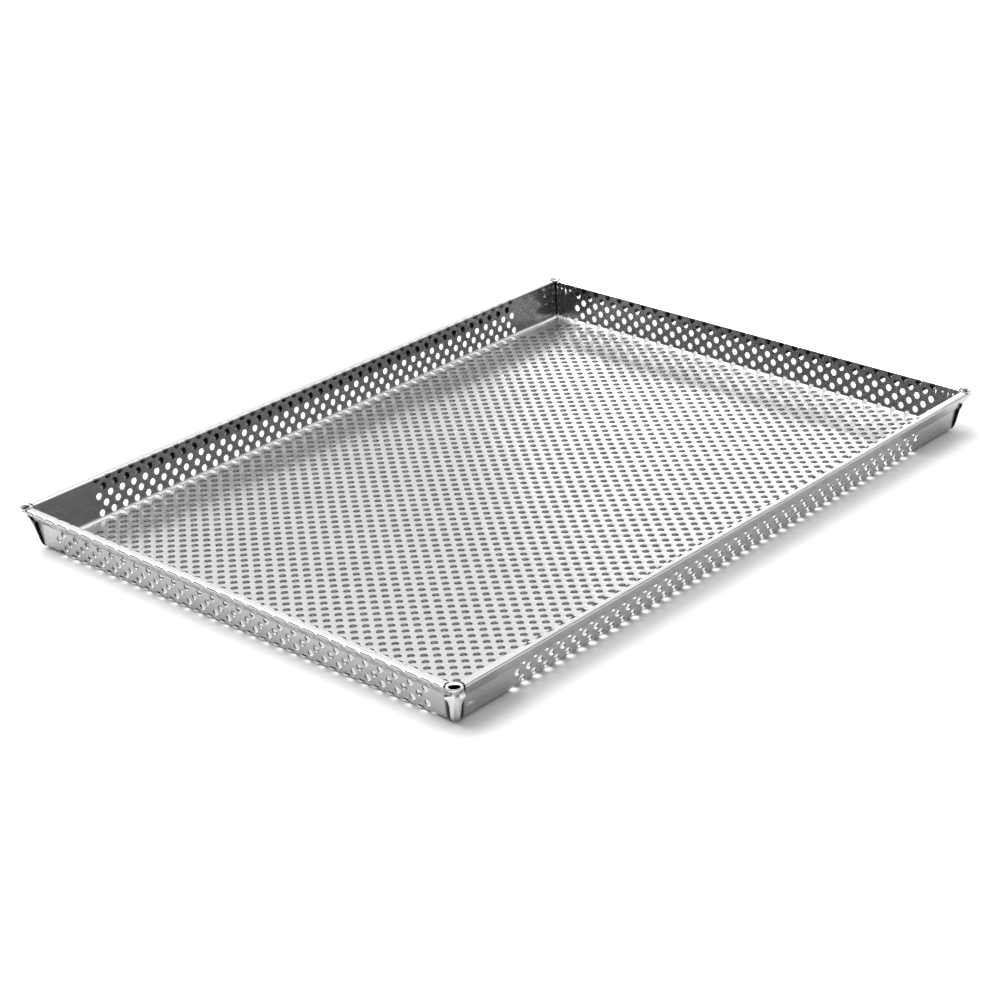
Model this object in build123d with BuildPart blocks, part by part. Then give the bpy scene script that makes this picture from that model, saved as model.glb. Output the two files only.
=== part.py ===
from build123d import *
import math
import os

# Perforated bakery tray. Millimetres, +Z up, origin under the middle of the floor,
# X along the long side. The sheet is one pressing, cut here at its bends: floor panel,
# four walls with their bottom bends, four folded rims and four pinched corner folds.

# Driving dimensions
LENGTH = 460.0            # outside of the rim, along X
WIDTH = 330.0             # outside of the rim, along Y
HEIGHT = 25.0             # underside of the floor to the top of the rim
SHEET = 0.8               # thickness of the sheet
WALL_LEAN = 8.6           # degrees that a wall leans outward from upright
BEND_RADIUS = 3.0         # inside radius where the floor turns up into a wall
CREST_WIDTH = 5.0         # flat top of the rim, from its outer edge to the wall's inside
LIP_DROP_LONG = 10.0      # how far the turned-down lip hangs on the long sides
LIP_DROP_SHORT = 7.8      # the same on the short sides
LIP_CLEARANCE = 0.4       # between the lip's lower edge and the wall behind it
HOLE_DIAMETER = 4.2       # perforation
PITCH_X = 8.7             # between holes in one row, along X
PITCH_Y = 10.14           # between holes in one column, along Y
LATTICE_SHIFT_Y = 2.2     # how far the perforation is off centre, along Y
PLAIN_END_LONG = 48.0     # unperforated end of a long wall, from the rim's corner
PLAIN_END_SHORT = 23.0    # unperforated end of a short wall, from the rim's corner
EAR_ACROSS = 9.2          # open top of a corner fold, across the corner's diagonal
EAR_ALONG = 8.8           # the same, along the diagonal
EAR_MOUTH = 5.4           # bore of the open top
EAR_HEIGHT = 8.0          # height of the flared top of a corner fold
NECK_DIAMETER = 6.6       # where the flared top meets the ridge below it
RIDGE_FOOT_DIAMETER = 4.0  # the ridge's lower end
RIDGE_FOOT_HEIGHT = 1.2   # the ridge's lower end above the ground
NECK_SETBACK = 8.9        # from the rim's corner in to the neck's middle, along the diagonal
FOOT_SETBACK = 14.2       # from the rim's corner in to the foot's middle, along the diagonal
RIM_END_GAP = 2.5         # each rim stops this far from the corner's diagonal
FOLD_CLEARANCE = 0.1      # between a rim's end and the corner fold
FLOOR_STRIP_ROWS = 4      # rows of holes in one strip of the floor, as it is built up

# Worked out from the dimensions above
LEAN = math.radians(WALL_LEAN)
OUTER_RADIUS = BEND_RADIUS + SHEET
BEND_ANGLE = math.pi / 2 - LEAN
BEND_LENGTH = (BEND_RADIUS + SHEET / 2) * BEND_ANGLE
HOLE_RADIUS = HOLE_DIAMETER / 2
CREST_UNDERSIDE = HEIGHT - SHEET
ROW_SPACING = PITCH_Y / 2
COLUMN_SPACING = PITCH_X / 2
DIAGONAL = math.sqrt(2.0)


def wall_outside(z):
    """How far in from the rim's outer edge the wall's outside face is, at height z."""
    return CREST_WIDTH - SHEET / math.cos(LEAN) + (HEIGHT - z) * math.tan(LEAN)


def wall_inside(z):
    """The same for the wall's inside face."""
    return CREST_WIDTH + (HEIGHT - z) * math.tan(LEAN)


# The bend's centre stands over the line where the floor ends
FLOOR_INSET = wall_outside(0.0) + OUTER_RADIUS * math.tan(BEND_ANGLE / 2)
FLOOR_X = LENGTH / 2 - FLOOR_INSET
FLOOR_Y = WIDTH / 2 - FLOOR_INSET


def on_bend(radius, angle):
    """Point of the bend in (inset, height), at an angle from straight down."""
    return (FLOOR_INSET - radius * math.sin(angle), OUTER_RADIUS - radius * math.cos(angle))


# Each side as (name, outward direction, length of run, lip drop, plain end)
SIDES = {
    "front": (Vector(0, -1, 0), LENGTH, LIP_DROP_LONG, PLAIN_END_LONG),
    "back": (Vector(0, 1, 0), LENGTH, LIP_DROP_LONG, PLAIN_END_LONG),
    "left": (Vector(-1, 0, 0), WIDTH, LIP_DROP_SHORT, PLAIN_END_SHORT),
    "right": (Vector(1, 0, 0), WIDTH, LIP_DROP_SHORT, PLAIN_END_SHORT),
}


def side_frame(outward):
    """Inward and along directions of a side, and the rim corner where its run starts."""
    inward = outward * -1
    along = inward.cross(Vector(0, 0, 1))
    middle = Vector(outward.X * LENGTH / 2, outward.Y * WIDTH / 2, 0)
    run = LENGTH if abs(outward.Y) > 0.5 else WIDTH
    return inward, along, middle - along * (run / 2)


def mitre_planes(outward, setback):
    """The two upright cuts at 45 degrees that end a side, moved back along the run."""
    inward, along, start = side_frame(outward)
    run = LENGTH if abs(outward.Y) > 0.5 else WIDTH
    end = start + along * run
    shift = along * (setback * DIAGONAL)
    return (
        Plane(origin=start + shift, z_dir=along - inward),
        Plane(origin=end - shift, z_dir=along * -1 - inward),
    )


def is_hole(column, row):
    """Every other place of the lattice is punched, so that the rows are staggered."""
    return (column + row) % 2 == 0


def lattice_range(low, high, spacing, shift):
    """Whole lattice numbers whose place lies from low to high."""
    return range(math.ceil((low - shift) / spacing), math.floor((high - shift) / spacing) + 1)


def in_plain_corner(x, y):
    """True near a corner of the blank, where neither floor edge nor wall is punched."""
    beyond_row = abs(y) > FLOOR_Y - ROW_SPACING
    beyond_column = abs(x) > FLOOR_X - COLUMN_SPACING
    near_end = abs(x) > LENGTH / 2 - PLAIN_END_LONG
    near_side = abs(y) > WIDTH / 2 - PLAIN_END_SHORT
    return (beyond_row and near_end) or (beyond_column and near_side)


def floor_strip(low, high):
    """Sketch of the floor from y = low to high, with its holes."""
    inner, edge = [], []
    reach = HOLE_RADIUS
    for row in lattice_range(low - reach, high + reach, ROW_SPACING, LATTICE_SHIFT_Y):
        y = row * ROW_SPACING + LATTICE_SHIFT_Y
        for column in lattice_range(-FLOOR_X - reach, FLOOR_X + reach, COLUMN_SPACING, 0.0):
            x = column * COLUMN_SPACING
            if not is_hole(column, row) or in_plain_corner(x, y):
                continue
            clear = low + reach < y < high - reach and abs(x) + reach < FLOOR_X
            (inner if clear else edge).append((x, y))
    outline = Wire.make_polygon([(-FLOOR_X, low), (FLOOR_X, low), (FLOOR_X, high), (-FLOOR_X, high)])
    holes = [Wire.make_circle(HOLE_RADIUS, Plane((x, y, 0))) for x, y in inner]
    with BuildSketch() as strip:
        add(Face(outline, holes))
        if edge:
            with Locations(*edge):
                Circle(HOLE_RADIUS, mode=Mode.SUBTRACT)
    return strip.sketch


def floor_panel():
    """Flat perforated floor, built up in strips that end between rows of holes."""
    rows = lattice_range(-FLOOR_Y, FLOOR_Y, ROW_SPACING, LATTICE_SHIFT_Y)
    breaks = [(row - 0.5) * ROW_SPACING + LATTICE_SHIFT_Y for row in rows[::FLOOR_STRIP_ROWS]][1:]
    edges = [-FLOOR_Y, *breaks, FLOOR_Y]
    with BuildPart() as panel:
        for low, high in zip(edges, edges[1:]):
            add(floor_strip(low, high))
            extrude(amount=SHEET, clean=False)
    return panel.part


def row_plane(outward, beyond):
    """Plane through the middle of the sheet, square to it, for a row of holes.

    beyond is the row's distance past the floor's edge, along the unfolded sheet.
    """
    inward, along, start = side_frame(outward)
    angle = min(max(beyond, 0.0), BEND_LENGTH) / BEND_LENGTH * BEND_ANGLE
    inset, height = on_bend(BEND_RADIUS + SHEET / 2, angle)
    straight = beyond - min(max(beyond, 0.0), BEND_LENGTH)
    inset -= straight * math.cos(angle)
    height += straight * math.sin(angle)
    into = inward * math.sin(angle) + Vector(0, 0, math.cos(angle))
    return Plane(origin=start + inward * inset + Vector(0, 0, height), x_dir=along, z_dir=into)


def wall(outward, run, plain_end):
    """One wall with its bottom bend, mitred at both ends and punched in rows."""
    inward, along, start = side_frame(outward)
    mid_angle = BEND_ANGLE / 2
    with BuildPart() as body:
        with BuildSketch(Plane(origin=start, x_dir=inward, z_dir=along)):
            with BuildLine():
                top_outside = (wall_outside(CREST_UNDERSIDE), CREST_UNDERSIDE)
                top_inside = (wall_inside(CREST_UNDERSIDE), CREST_UNDERSIDE)
                outer_foot = on_bend(OUTER_RADIUS, 0.0)
                inner_foot = on_bend(BEND_RADIUS, 0.0)
                outer_end = on_bend(OUTER_RADIUS, BEND_ANGLE)
                inner_end = on_bend(BEND_RADIUS, BEND_ANGLE)
                ThreePointArc(outer_foot, on_bend(OUTER_RADIUS, mid_angle), outer_end)
                Polyline(outer_end, top_outside, top_inside, inner_end)
                ThreePointArc(inner_end, on_bend(BEND_RADIUS, mid_angle), inner_foot)
                Line(inner_foot, outer_foot)
            make_face()
        extrude(amount=run)
        for cut in mitre_planes(outward, 0.0):
            split(bisect_by=cut, keep=Keep.TOP)

        floor_half = FLOOR_Y if abs(outward.Y) > 0.5 else FLOOR_X
        flat_top = (CREST_UNDERSIDE - on_bend(BEND_RADIUS + SHEET / 2, BEND_ANGLE)[1]) / math.cos(LEAN)
        low, high = floor_half - HOLE_RADIUS, floor_half + BEND_LENGTH + flat_top + SHEET
        on_long_side = abs(outward.Y) > 0.5
        spacing, shift = (ROW_SPACING, LATTICE_SHIFT_Y) if on_long_side else (COLUMN_SPACING, 0.0)
        sign = outward.Y if on_long_side else outward.X
        for line in lattice_range(low, high, spacing, shift * sign):
            place = line * spacing + shift * sign
            holes = []
            number = int(line * sign)
            other, offset = (COLUMN_SPACING, 0.0) if on_long_side else (ROW_SPACING, LATTICE_SHIFT_Y)
            reach = run / 2 - plain_end
            for step in lattice_range(-reach, reach, other, offset):
                if is_hole(step, number):
                    world = step * other + offset
                    travel = world * (along.X if on_long_side else along.Y)
                    holes.append((run / 2 + travel, 0))
            with BuildSketch(row_plane(outward, place - floor_half)):
                with Locations(*holes):
                    Circle(HOLE_RADIUS)
            extrude(amount=2 * SHEET, both=True, mode=Mode.SUBTRACT)
    return body.part


def fold_blank(outward_x, outward_y, clearance):
    """Filled outside shape of a corner fold: a flared top on a ridge that tapers down."""
    corner = Vector(outward_x * LENGTH / 2, outward_y * WIDTH / 2, 0)
    out = Vector(outward_x, outward_y, 0).normalized()
    across = Vector(0, 0, 1).cross(out)

    def level(setback, z):
        return Plane(origin=corner - out * setback + Vector(0, 0, z), x_dir=across, z_dir=(0, 0, 1))

    with BuildPart() as blank:
        with BuildSketch(level(EAR_ALONG / 2, HEIGHT)):
            Ellipse(EAR_ACROSS / 2 + clearance, EAR_ALONG / 2 + clearance)
        with BuildSketch(level(NECK_SETBACK, HEIGHT - EAR_HEIGHT)):
            Circle(NECK_DIAMETER / 2 + clearance)
        loft()
        with BuildSketch(level(NECK_SETBACK, HEIGHT - EAR_HEIGHT)):
            Circle(NECK_DIAMETER / 2 + clearance)
        with BuildSketch(level(FOOT_SETBACK, RIDGE_FOOT_HEIGHT)):
            Circle(RIDGE_FOOT_DIAMETER / 2 + clearance)
        loft()
    return blank.part


def side_envelope(outward, run):
    """Everything inside one pair of walls' outside faces, up to the crest's underside."""
    inward, along, start = side_frame(outward)
    across = WIDTH if abs(outward.Y) > 0.5 else LENGTH
    with BuildPart() as body:
        with BuildSketch(Plane(origin=start, x_dir=inward, z_dir=along)):
            with BuildLine():
                near = on_bend(OUTER_RADIUS, BEND_ANGLE)
                middle = on_bend(OUTER_RADIUS, BEND_ANGLE / 2)
                foot = on_bend(OUTER_RADIUS, 0.0)
                top = (wall_outside(CREST_UNDERSIDE), CREST_UNDERSIDE)
                ThreePointArc(foot, middle, near)
                Polyline(near, top, (across - top[0], top[1]), (across - near[0], near[1]))
                ThreePointArc((across - near[0], near[1]), (across - middle[0], middle[1]), (across - foot[0], 0))
                Line((across - foot[0], 0), foot)
            make_face()
        extrude(amount=run)
    return body.part


def envelope():
    """Everything inside the four walls' outside faces."""
    with BuildPart() as body:
        add(side_envelope(SIDES["front"][0], LENGTH))
        add(side_envelope(SIDES["left"][0], WIDTH), mode=Mode.INTERSECT)
    return body.part


def corner_fold(outward_x, outward_y, inside):
    """The pinched metal at one corner: a hollow flared top over a solid-looking ridge."""
    corner = Vector(outward_x * LENGTH / 2, outward_y * WIDTH / 2, 0)
    out = Vector(outward_x, outward_y, 0).normalized()
    mouth = Plane(origin=corner - out * (EAR_ALONG / 2) + Vector(0, 0, HEIGHT), z_dir=(0, 0, 1))
    throat_centre = corner - out * NECK_SETBACK + Vector(0, 0, HEIGHT - EAR_HEIGHT)
    with BuildPart() as fold:
        add(fold_blank(outward_x, outward_y, 0.0))
        add(inside, mode=Mode.SUBTRACT)
        with BuildSketch(mouth):
            Circle(EAR_MOUTH / 2)
        with BuildSketch(Plane(origin=throat_centre, z_dir=(0, 0, 1))):
            Circle(SHEET)
        loft(mode=Mode.SUBTRACT)
    return fold.part


def rim(outward, run, lip_drop, blanks):
    """Folded rim of one side: a flat crest and a lip turned down towards the wall."""
    inward, along, start = side_frame(outward)
    lip_end = HEIGHT - lip_drop
    reach = wall_outside(lip_end) - LIP_CLEARANCE - SHEET / math.cos(LEAN)
    lip_angle = math.atan2(reach, lip_drop)
    lip_width = SHEET / math.cos(lip_angle)
    with BuildPart() as body:
        with BuildSketch(Plane(origin=start, x_dir=inward, z_dir=along)):
            with BuildLine():
                Polyline(
                    (0, HEIGHT),
                    (CREST_WIDTH, HEIGHT),
                    (wall_inside(CREST_UNDERSIDE), CREST_UNDERSIDE),
                    (lip_width + SHEET * math.tan(lip_angle), CREST_UNDERSIDE),
                    (reach + lip_width, lip_end),
                    (reach, lip_end),
                    close=True,
                )
            make_face()
        extrude(amount=run)
        for cut in mitre_planes(outward, RIM_END_GAP):
            split(bisect_by=cut, keep=Keep.TOP)
        for blank in blanks:
            add(blank, mode=Mode.SUBTRACT)
    return body.part


def export(solid, name):
    """Label a piece and write it."""
    solid.label = name
    export_step(solid, f"parts/{name}.step")


os.makedirs("parts", exist_ok=True)

CORNERS = {
    "front_left": (-1, -1),
    "front_right": (1, -1),
    "back_left": (-1, 1),
    "back_right": (1, 1),
}
rim_cutters = {name: fold_blank(x, y, FOLD_CLEARANCE) for name, (x, y) in CORNERS.items()}

export(floor_panel(), "floor_panel")
for side, (outward, run, lip_drop, plain_end) in SIDES.items():
    export(wall(outward, run, plain_end), f"{side}_wall")
    cutters = [rim_cutters[name] for name in CORNERS if side in name]
    export(rim(outward, run, lip_drop, cutters), f"{side}_rim")
inside_walls = envelope()
for name, (x, y) in CORNERS.items():
    export(corner_fold(x, y, inside_walls), f"{name}_corner_fold")
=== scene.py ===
"""Perforated bakery tray, dressed for the studio.

The tray is one sheet of rolled aluminium. It is punched on a staggered lattice and
folded up into four walls, each with a flat crest and a turned-down lip, and the spare
metal at every corner is pinched into a hollow fold. Lengths are metres and angles are
degrees, unless a name says otherwise.
"""

import sys

import logging
import math
from collections.abc import Callable
from dataclasses import dataclass
from enum import Enum

import bmesh
import bpy
import numpy as np
from mathutils import Matrix, Vector
from mathutils.kdtree import KDTree


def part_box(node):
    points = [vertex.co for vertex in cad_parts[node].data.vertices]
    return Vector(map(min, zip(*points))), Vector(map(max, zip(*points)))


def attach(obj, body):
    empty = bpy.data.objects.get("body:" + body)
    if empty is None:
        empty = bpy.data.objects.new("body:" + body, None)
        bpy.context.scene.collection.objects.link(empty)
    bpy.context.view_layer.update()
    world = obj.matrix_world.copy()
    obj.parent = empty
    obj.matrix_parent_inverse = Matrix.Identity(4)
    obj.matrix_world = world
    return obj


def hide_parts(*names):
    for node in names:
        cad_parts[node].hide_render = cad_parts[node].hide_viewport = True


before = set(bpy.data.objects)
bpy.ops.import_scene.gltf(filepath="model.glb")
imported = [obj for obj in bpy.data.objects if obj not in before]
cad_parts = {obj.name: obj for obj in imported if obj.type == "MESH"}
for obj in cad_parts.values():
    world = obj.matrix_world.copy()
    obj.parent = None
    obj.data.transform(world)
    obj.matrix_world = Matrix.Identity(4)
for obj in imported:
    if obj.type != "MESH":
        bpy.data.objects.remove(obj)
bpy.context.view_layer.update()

MM = 0.001
SHEET_MAP = "sheet"          # UV map that holds the place on the unfolded sheet, in decimetres
MAP_SCALE = 10.0             # map units per metre
PAINTED_SHADE_MARK = "crease"       # how much painted shade a point of a mesh takes, from 0 to 1
BODY = "root"
log = logging.getLogger("tray")


class Place(Enum):
    """A named place on the tray."""

    @property
    def label(self) -> str:
        """The place's name in the part."""
        return self.name.lower()


class Side(Place):
    """A side of the tray, as the outward direction in plan."""

    FRONT = (0, -1)
    BACK = (0, 1)
    LEFT = (-1, 0)
    RIGHT = (1, 0)

    @property
    def is_long(self) -> bool:
        """True where the side runs along X."""
        return self.value[0] == 0

    @property
    def sign(self) -> int:
        """The outward direction's sign on its own axis."""
        return self.value[0] + self.value[1]


class Corner(Place):
    """A corner of the tray, as the signs of its X and Y."""

    FRONT_LEFT = (-1, -1)
    FRONT_RIGHT = (1, -1)
    BACK_LEFT = (-1, 1)
    BACK_RIGHT = (1, 1)


class Face(Enum):
    """The two faces of the sheet, as the sign of the step from its middle."""

    SHOWN = 1.0
    BACKED = -1.0


# ---------------------------------------------------------------- sizes


@dataclass(frozen=True)
class TraySizes:
    """Sizes of the whole tray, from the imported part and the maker's fold tooling."""

    half_length: float
    half_width: float
    height: float
    floor_x: float
    floor_y: float
    sheet: float
    lip_drop_long: float
    lip_drop_short: float
    lean: float = math.radians(8.6)
    bend_radius: float = 3.4 * MM        # of the sheet's middle, floor to wall
    crest_radius: float = 0.85 * MM      # of the sheet's middle, wall to crest
    lip_radius: float = 0.95 * MM        # of the sheet's middle, crest to lip
    lip_clearance: float = 0.4 * MM      # between the lip's edge and the wall
    plain_end_long: float = 48.0 * MM    # of a long wall, beyond its last holes
    plain_end_short: float = 23.0 * MM   # the same on a short wall

    @classmethod
    def from_part(cls) -> "TraySizes":
        """Reads the main sizes from the boxes of the part's nodes."""
        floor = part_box("floor_panel")[1]
        long_rim, short_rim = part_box("back_rim"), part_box("right_rim")
        return cls(
            half_length=short_rim[1].x,
            half_width=long_rim[1].y,
            height=long_rim[1].z,
            floor_x=floor.x,
            floor_y=floor.y,
            sheet=floor.z,
            lip_drop_long=long_rim[1].z - long_rim[0].z,
            lip_drop_short=short_rim[1].z - short_rim[0].z,
        )


@dataclass(frozen=True)
class Punching:
    """Staggered lattice of round holes, laid out on the unfolded sheet."""

    column: float = 4.35 * MM
    row: float = 5.07 * MM
    shift: float = 2.2 * MM      # of the rows, along Y
    radius: float = 2.1 * MM

    def cell_outline(self) -> np.ndarray:
        """Corners of one hole's cell and the middles of its long edges, around the hole."""
        across, up = self.column, self.row / 2
        return np.array([(across, up), (0, up), (-across, up), (-across, -up), (0, -up), (across, -up)])

    def web(self, sides: int) -> tuple[np.ndarray, np.ndarray]:
        """Metal between one hole and its cell's outline.

        Args:
            sides: How many straight edges the hole's circle is drawn with.

        Returns:
            The points, outline first, and the triangles between them.
        """
        outline = self.cell_outline()
        turn = 2 * np.pi * (np.arange(sides) + 0.5) / sides
        ring = self.radius * np.stack([np.cos(turn), np.sin(turn)], 1)
        corners = len(outline)
        outer = np.mod(np.arctan2(outline[:, 1], outline[:, 0]), 2 * np.pi)
        outer = np.append(outer, outer[0] + 2 * np.pi)
        inner = np.append(turn, turn[0] + 2 * np.pi)
        triangles = []
        i = j = 0
        while i < corners or j < sides:
            take_outer = i < corners and (j == sides or outer[i + 1] <= inner[j + 1])
            if take_outer:
                triangles.append((i % corners, (i + 1) % corners, corners + j % sides))
                i += 1
            else:
                triangles.append((i % corners, corners + (j + 1) % sides, corners + j % sides))
                j += 1
        return np.vstack([outline, ring]), np.array(triangles)


# ---------------------------------------------------------------- flat sheet


@dataclass
class FlatSheet:
    """A triangulated piece of the unfolded sheet, with its holes."""

    points: np.ndarray
    triangles: np.ndarray
    holes: np.ndarray

    @classmethod
    def cut(
        cls,
        punching: Punching,
        low: tuple[float, float],
        high: tuple[float, float],
        sides: int,
        is_punched: Callable[[float, float], bool],
        score_x: list[float],
        score_y: list[float],
    ) -> "FlatSheet":
        """Cuts one rectangle out of the punched sheet.

        Args:
            punching: The hole lattice.
            low: Lowest corner of the rectangle.
            high: Highest corner of the rectangle.
            sides: Straight edges per hole.
            is_punched: Says whether the lattice place at x, y is punched.
            score_x: Lines of constant x along which the sheet needs points.
            score_y: The same for y.

        Returns:
            The rectangle's triangles, and the middles of its holes.
        """
        columns = range(math.floor(low[0] / punching.column) - 1, math.ceil(high[0] / punching.column) + 2)
        first_row = math.floor((low[1] - punching.shift) / punching.row) - 1
        last_row = math.ceil((high[1] - punching.shift) / punching.row) + 1
        holes, plain = [], []
        for row in range(first_row, last_row + 1):
            for column in columns:
                if (row + column) % 2:
                    continue
                place = (column * punching.column, row * punching.row + punching.shift)
                (holes if is_punched(*place) else plain).append(place)
        outline = punching.cell_outline()
        web, web_triangles = punching.web(sides)
        fan = np.array([(0, k, k + 1) for k in range(1, len(outline) - 1)])
        points, triangles, count = [], [], 0
        for places, shape, faces in ((holes, web, web_triangles), (plain, outline, fan)):
            if not places:
                continue
            middles = np.array(places)
            points.append((middles[:, None, :] + shape[None]).reshape(-1, 2))
            step = count + np.arange(len(middles)) * len(shape)
            triangles.append((step[:, None, None] + faces[None]).reshape(-1, 3))
            count += len(middles) * len(shape)
        merged, index = welded(np.vstack(points), np.vstack(triangles))
        points, triangles = scored(merged, index, low, high, score_x, score_y)
        return cls(points, triangles, np.array(holes) if holes else np.zeros((0, 2)))

    def nearest_holes(self) -> tuple[np.ndarray, np.ndarray]:
        """For each point, the middle of the nearest hole and how far away it is."""
        middles, spans = np.zeros_like(self.points), np.full(len(self.points), np.inf)
        if not len(self.holes):
            return middles, spans
        tree = KDTree(len(self.holes))
        for number, (x, y) in enumerate(self.holes):
            tree.insert((x, y, 0.0), number)
        tree.balance()
        numbers = [tree.find((x, y, 0.0))[1] for x, y in self.points]
        middles = self.holes[numbers]
        return middles, np.hypot(*(middles - self.points).T)


def welded(points: np.ndarray, triangles: np.ndarray) -> tuple[np.ndarray, np.ndarray]:
    """Joins points that share a place.

    Args:
        points: Flat points, some of them repeated.
        triangles: Triangles on those points.

    Returns:
        The separate points, and the triangles on them.
    """
    keys = np.round(points / (0.001 * MM)).astype(np.int64)
    _, first, back = np.unique(keys, axis=0, return_index=True, return_inverse=True)
    return points[first], back.reshape(-1)[triangles]


def scored(
    points: np.ndarray,
    triangles: np.ndarray,
    low: tuple[float, float],
    high: tuple[float, float],
    score_x: list[float],
    score_y: list[float],
) -> tuple[np.ndarray, np.ndarray]:
    """Trims a flat mesh to a rectangle and adds points along its score lines.

    Args:
        points: Flat points.
        triangles: Triangles on them.
        low: Lowest corner of the rectangle.
        high: Highest corner of the rectangle.
        score_x: Lines of constant x that need points.
        score_y: Lines of constant y that need points.

    Returns:
        The trimmed mesh's points and triangles.
    """
    mesh = bpy.data.meshes.new("flat")
    mesh.from_pydata(np.pad(points, ((0, 0), (0, 1))).tolist(), [], triangles.tolist())
    work = bmesh.new()
    work.from_mesh(mesh)
    trims = [((low[0], 0, 0), (-1, 0, 0)), ((high[0], 0, 0), (1, 0, 0))]
    trims += [((0, low[1], 0), (0, -1, 0)), ((0, high[1], 0), (0, 1, 0))]
    lines = [((x, 0, 0), (1, 0, 0)) for x in score_x] + [((0, y, 0), (0, 1, 0)) for y in score_y]
    for number, (place, direction) in enumerate(trims + lines):
        everything = work.verts[:] + work.edges[:] + work.faces[:]
        bmesh.ops.bisect_plane(
            work,
            geom=everything,
            dist=0.002 * MM,
            plane_co=place,
            plane_no=direction,
            clear_outer=number < len(trims),
        )
    bmesh.ops.triangulate(work, faces=work.faces[:])
    work.to_mesh(mesh)
    work.free()
    flat = np.zeros(len(mesh.vertices) * 3)
    mesh.vertices.foreach_get("co", flat)
    index = np.zeros(len(mesh.loops), np.int64)
    mesh.loops.foreach_get("vertex_index", index)
    bpy.data.meshes.remove(mesh)
    return flat.reshape(-1, 3)[:, :2], index.reshape(-1, 3)


# ---------------------------------------------------------------- folding


@dataclass(frozen=True)
class FoldPath:
    """Middle line of the folded sheet in section, from the floor's edge outward.

    Each stretch is a length and the angle that the sheet turns over it, in radians.
    """

    inset: float
    height: float
    stretches: tuple[tuple[float, float], ...]

    def at(self, travel: np.ndarray) -> tuple[np.ndarray, np.ndarray, np.ndarray]:
        """Where the middle of the sheet is, after a travel along it.

        Args:
            travel: Distances past the floor's edge.

        Returns:
            How far in from the rim's outer edge, how high, and the slope in radians.
        """
        inset = np.full_like(travel, self.inset)
        height = np.full_like(travel, self.height)
        slope = np.zeros_like(travel)
        start, start_inset, start_height, start_slope = 0.0, self.inset, self.height, 0.0
        for length, turn in self.stretches:
            step = np.clip(travel - start, 0.0, length)
            here_inset, here_height = self._step(step, length, turn, start_inset, start_height, start_slope)
            reached = travel >= start
            inset = np.where(reached, here_inset, inset)
            height = np.where(reached, here_height, height)
            slope = np.where(reached, start_slope + turn * step / length, slope)
            start_inset, start_height = self._step(
                np.array(length), length, turn, start_inset, start_height, start_slope
            )
            start_inset, start_height = float(start_inset), float(start_height)
            start, start_slope = start + length, start_slope + turn
        return inset, height, slope

    @staticmethod
    def _step(
        step: np.ndarray, length: float, turn: float, inset: float, height: float, slope: float
    ) -> tuple[np.ndarray, np.ndarray]:
        """Inset and height after a step into one stretch that starts at these values."""
        if not turn:
            return inset - step * math.cos(slope), height + step * math.sin(slope)
        bend = turn / length
        now = slope + bend * step
        return inset - (np.sin(now) - math.sin(slope)) / bend, height + (math.cos(slope) - np.cos(now)) / bend

    @property
    def length(self) -> float:
        """Travel to the lip's cut edge."""
        return sum(length for length, _ in self.stretches)

    def breaks(self, pieces: tuple[int, ...]) -> list[float]:
        """Travels where the sheet needs points, with so many pieces to each stretch."""
        marks, start = [], 0.0
        for (length, _), count in zip(self.stretches, pieces):
            marks += [start + length * k / count for k in range(count)]
            start += length
        return marks[1:]


@dataclass(frozen=True)
class SideProfile:
    """Section of one side: bottom bend, leaning wall, crest and turned-down lip."""

    sizes: TraySizes
    lip_drop: float

    @property
    def slope(self) -> float:
        """The wall's slope in radians, from flat."""
        return math.pi / 2 - self.sizes.lean

    @property
    def floor_inset(self) -> float:
        """How far in from the rim's outer edge the floor ends."""
        return self.sizes.half_width - self.sizes.floor_y

    def wall_foot(self) -> tuple[float, float]:
        """Inset and height of the sheet's middle where the bend becomes the wall."""
        radius = self.sizes.bend_radius
        rise = radius * (1 - math.cos(self.slope))
        return self.floor_inset - radius * math.sin(self.slope), self.sizes.sheet / 2 + rise

    def wall_inset(self, height: float) -> float:
        """Inset of the wall's middle at a height above the bend, or of the bend's below it."""
        foot_inset, foot_height = self.wall_foot()
        if height >= foot_height:
            return foot_inset - (height - foot_height) * math.tan(self.sizes.lean)
        radius = self.sizes.bend_radius
        fall = np.clip(1 - (height - self.sizes.sheet / 2) / radius, -1.0, 1.0)
        return self.floor_inset - radius * math.sin(math.acos(fall))

    def path(self) -> FoldPath:
        """The whole fold, with the lip turned far enough to stop just off the wall."""
        low, high = 0.0, math.radians(45)
        for _ in range(40):
            lip = (low + high) / 2
            path = self._path_for(lip)
            inset, height, _ = path.at(np.array([path.length]))
            room = self.wall_inset(float(height[0])) - float(inset[0])
            needed = self.sizes.sheet + self.sizes.lip_clearance
            low, high = (lip, high) if room > needed else (low, lip)
        return path

    def _path_for(self, lip: float) -> FoldPath:
        """The fold with the lip leaning in by an angle in radians."""
        s = self.sizes
        foot_inset, foot_height = self.wall_foot()
        crest_height = s.height - s.sheet / 2
        crest_rise = s.crest_radius * (1 - math.cos(self.slope))
        wall = (crest_height - crest_rise - foot_height) / math.sin(self.slope)
        crest_start = foot_inset - wall * math.cos(self.slope) - s.crest_radius * math.sin(self.slope)
        crest = crest_start - (s.lip_radius + s.sheet / 2)
        turned = math.pi / 2 + lip
        below = crest_height - s.lip_radius * (1 + math.sin(lip))
        end = s.height - self.lip_drop + s.sheet / 2 * math.sin(lip)
        return FoldPath(
            self.floor_inset,
            s.sheet / 2,
            (
                (s.bend_radius * self.slope, self.slope),
                (wall, 0.0),
                (s.crest_radius * self.slope, -self.slope),
                (crest, 0.0),
                (s.lip_radius * turned, -turned),
                ((below - end) / math.cos(lip), 0.0),
            ),
        )


# ---------------------------------------------------------------- corner fold shape


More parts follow.
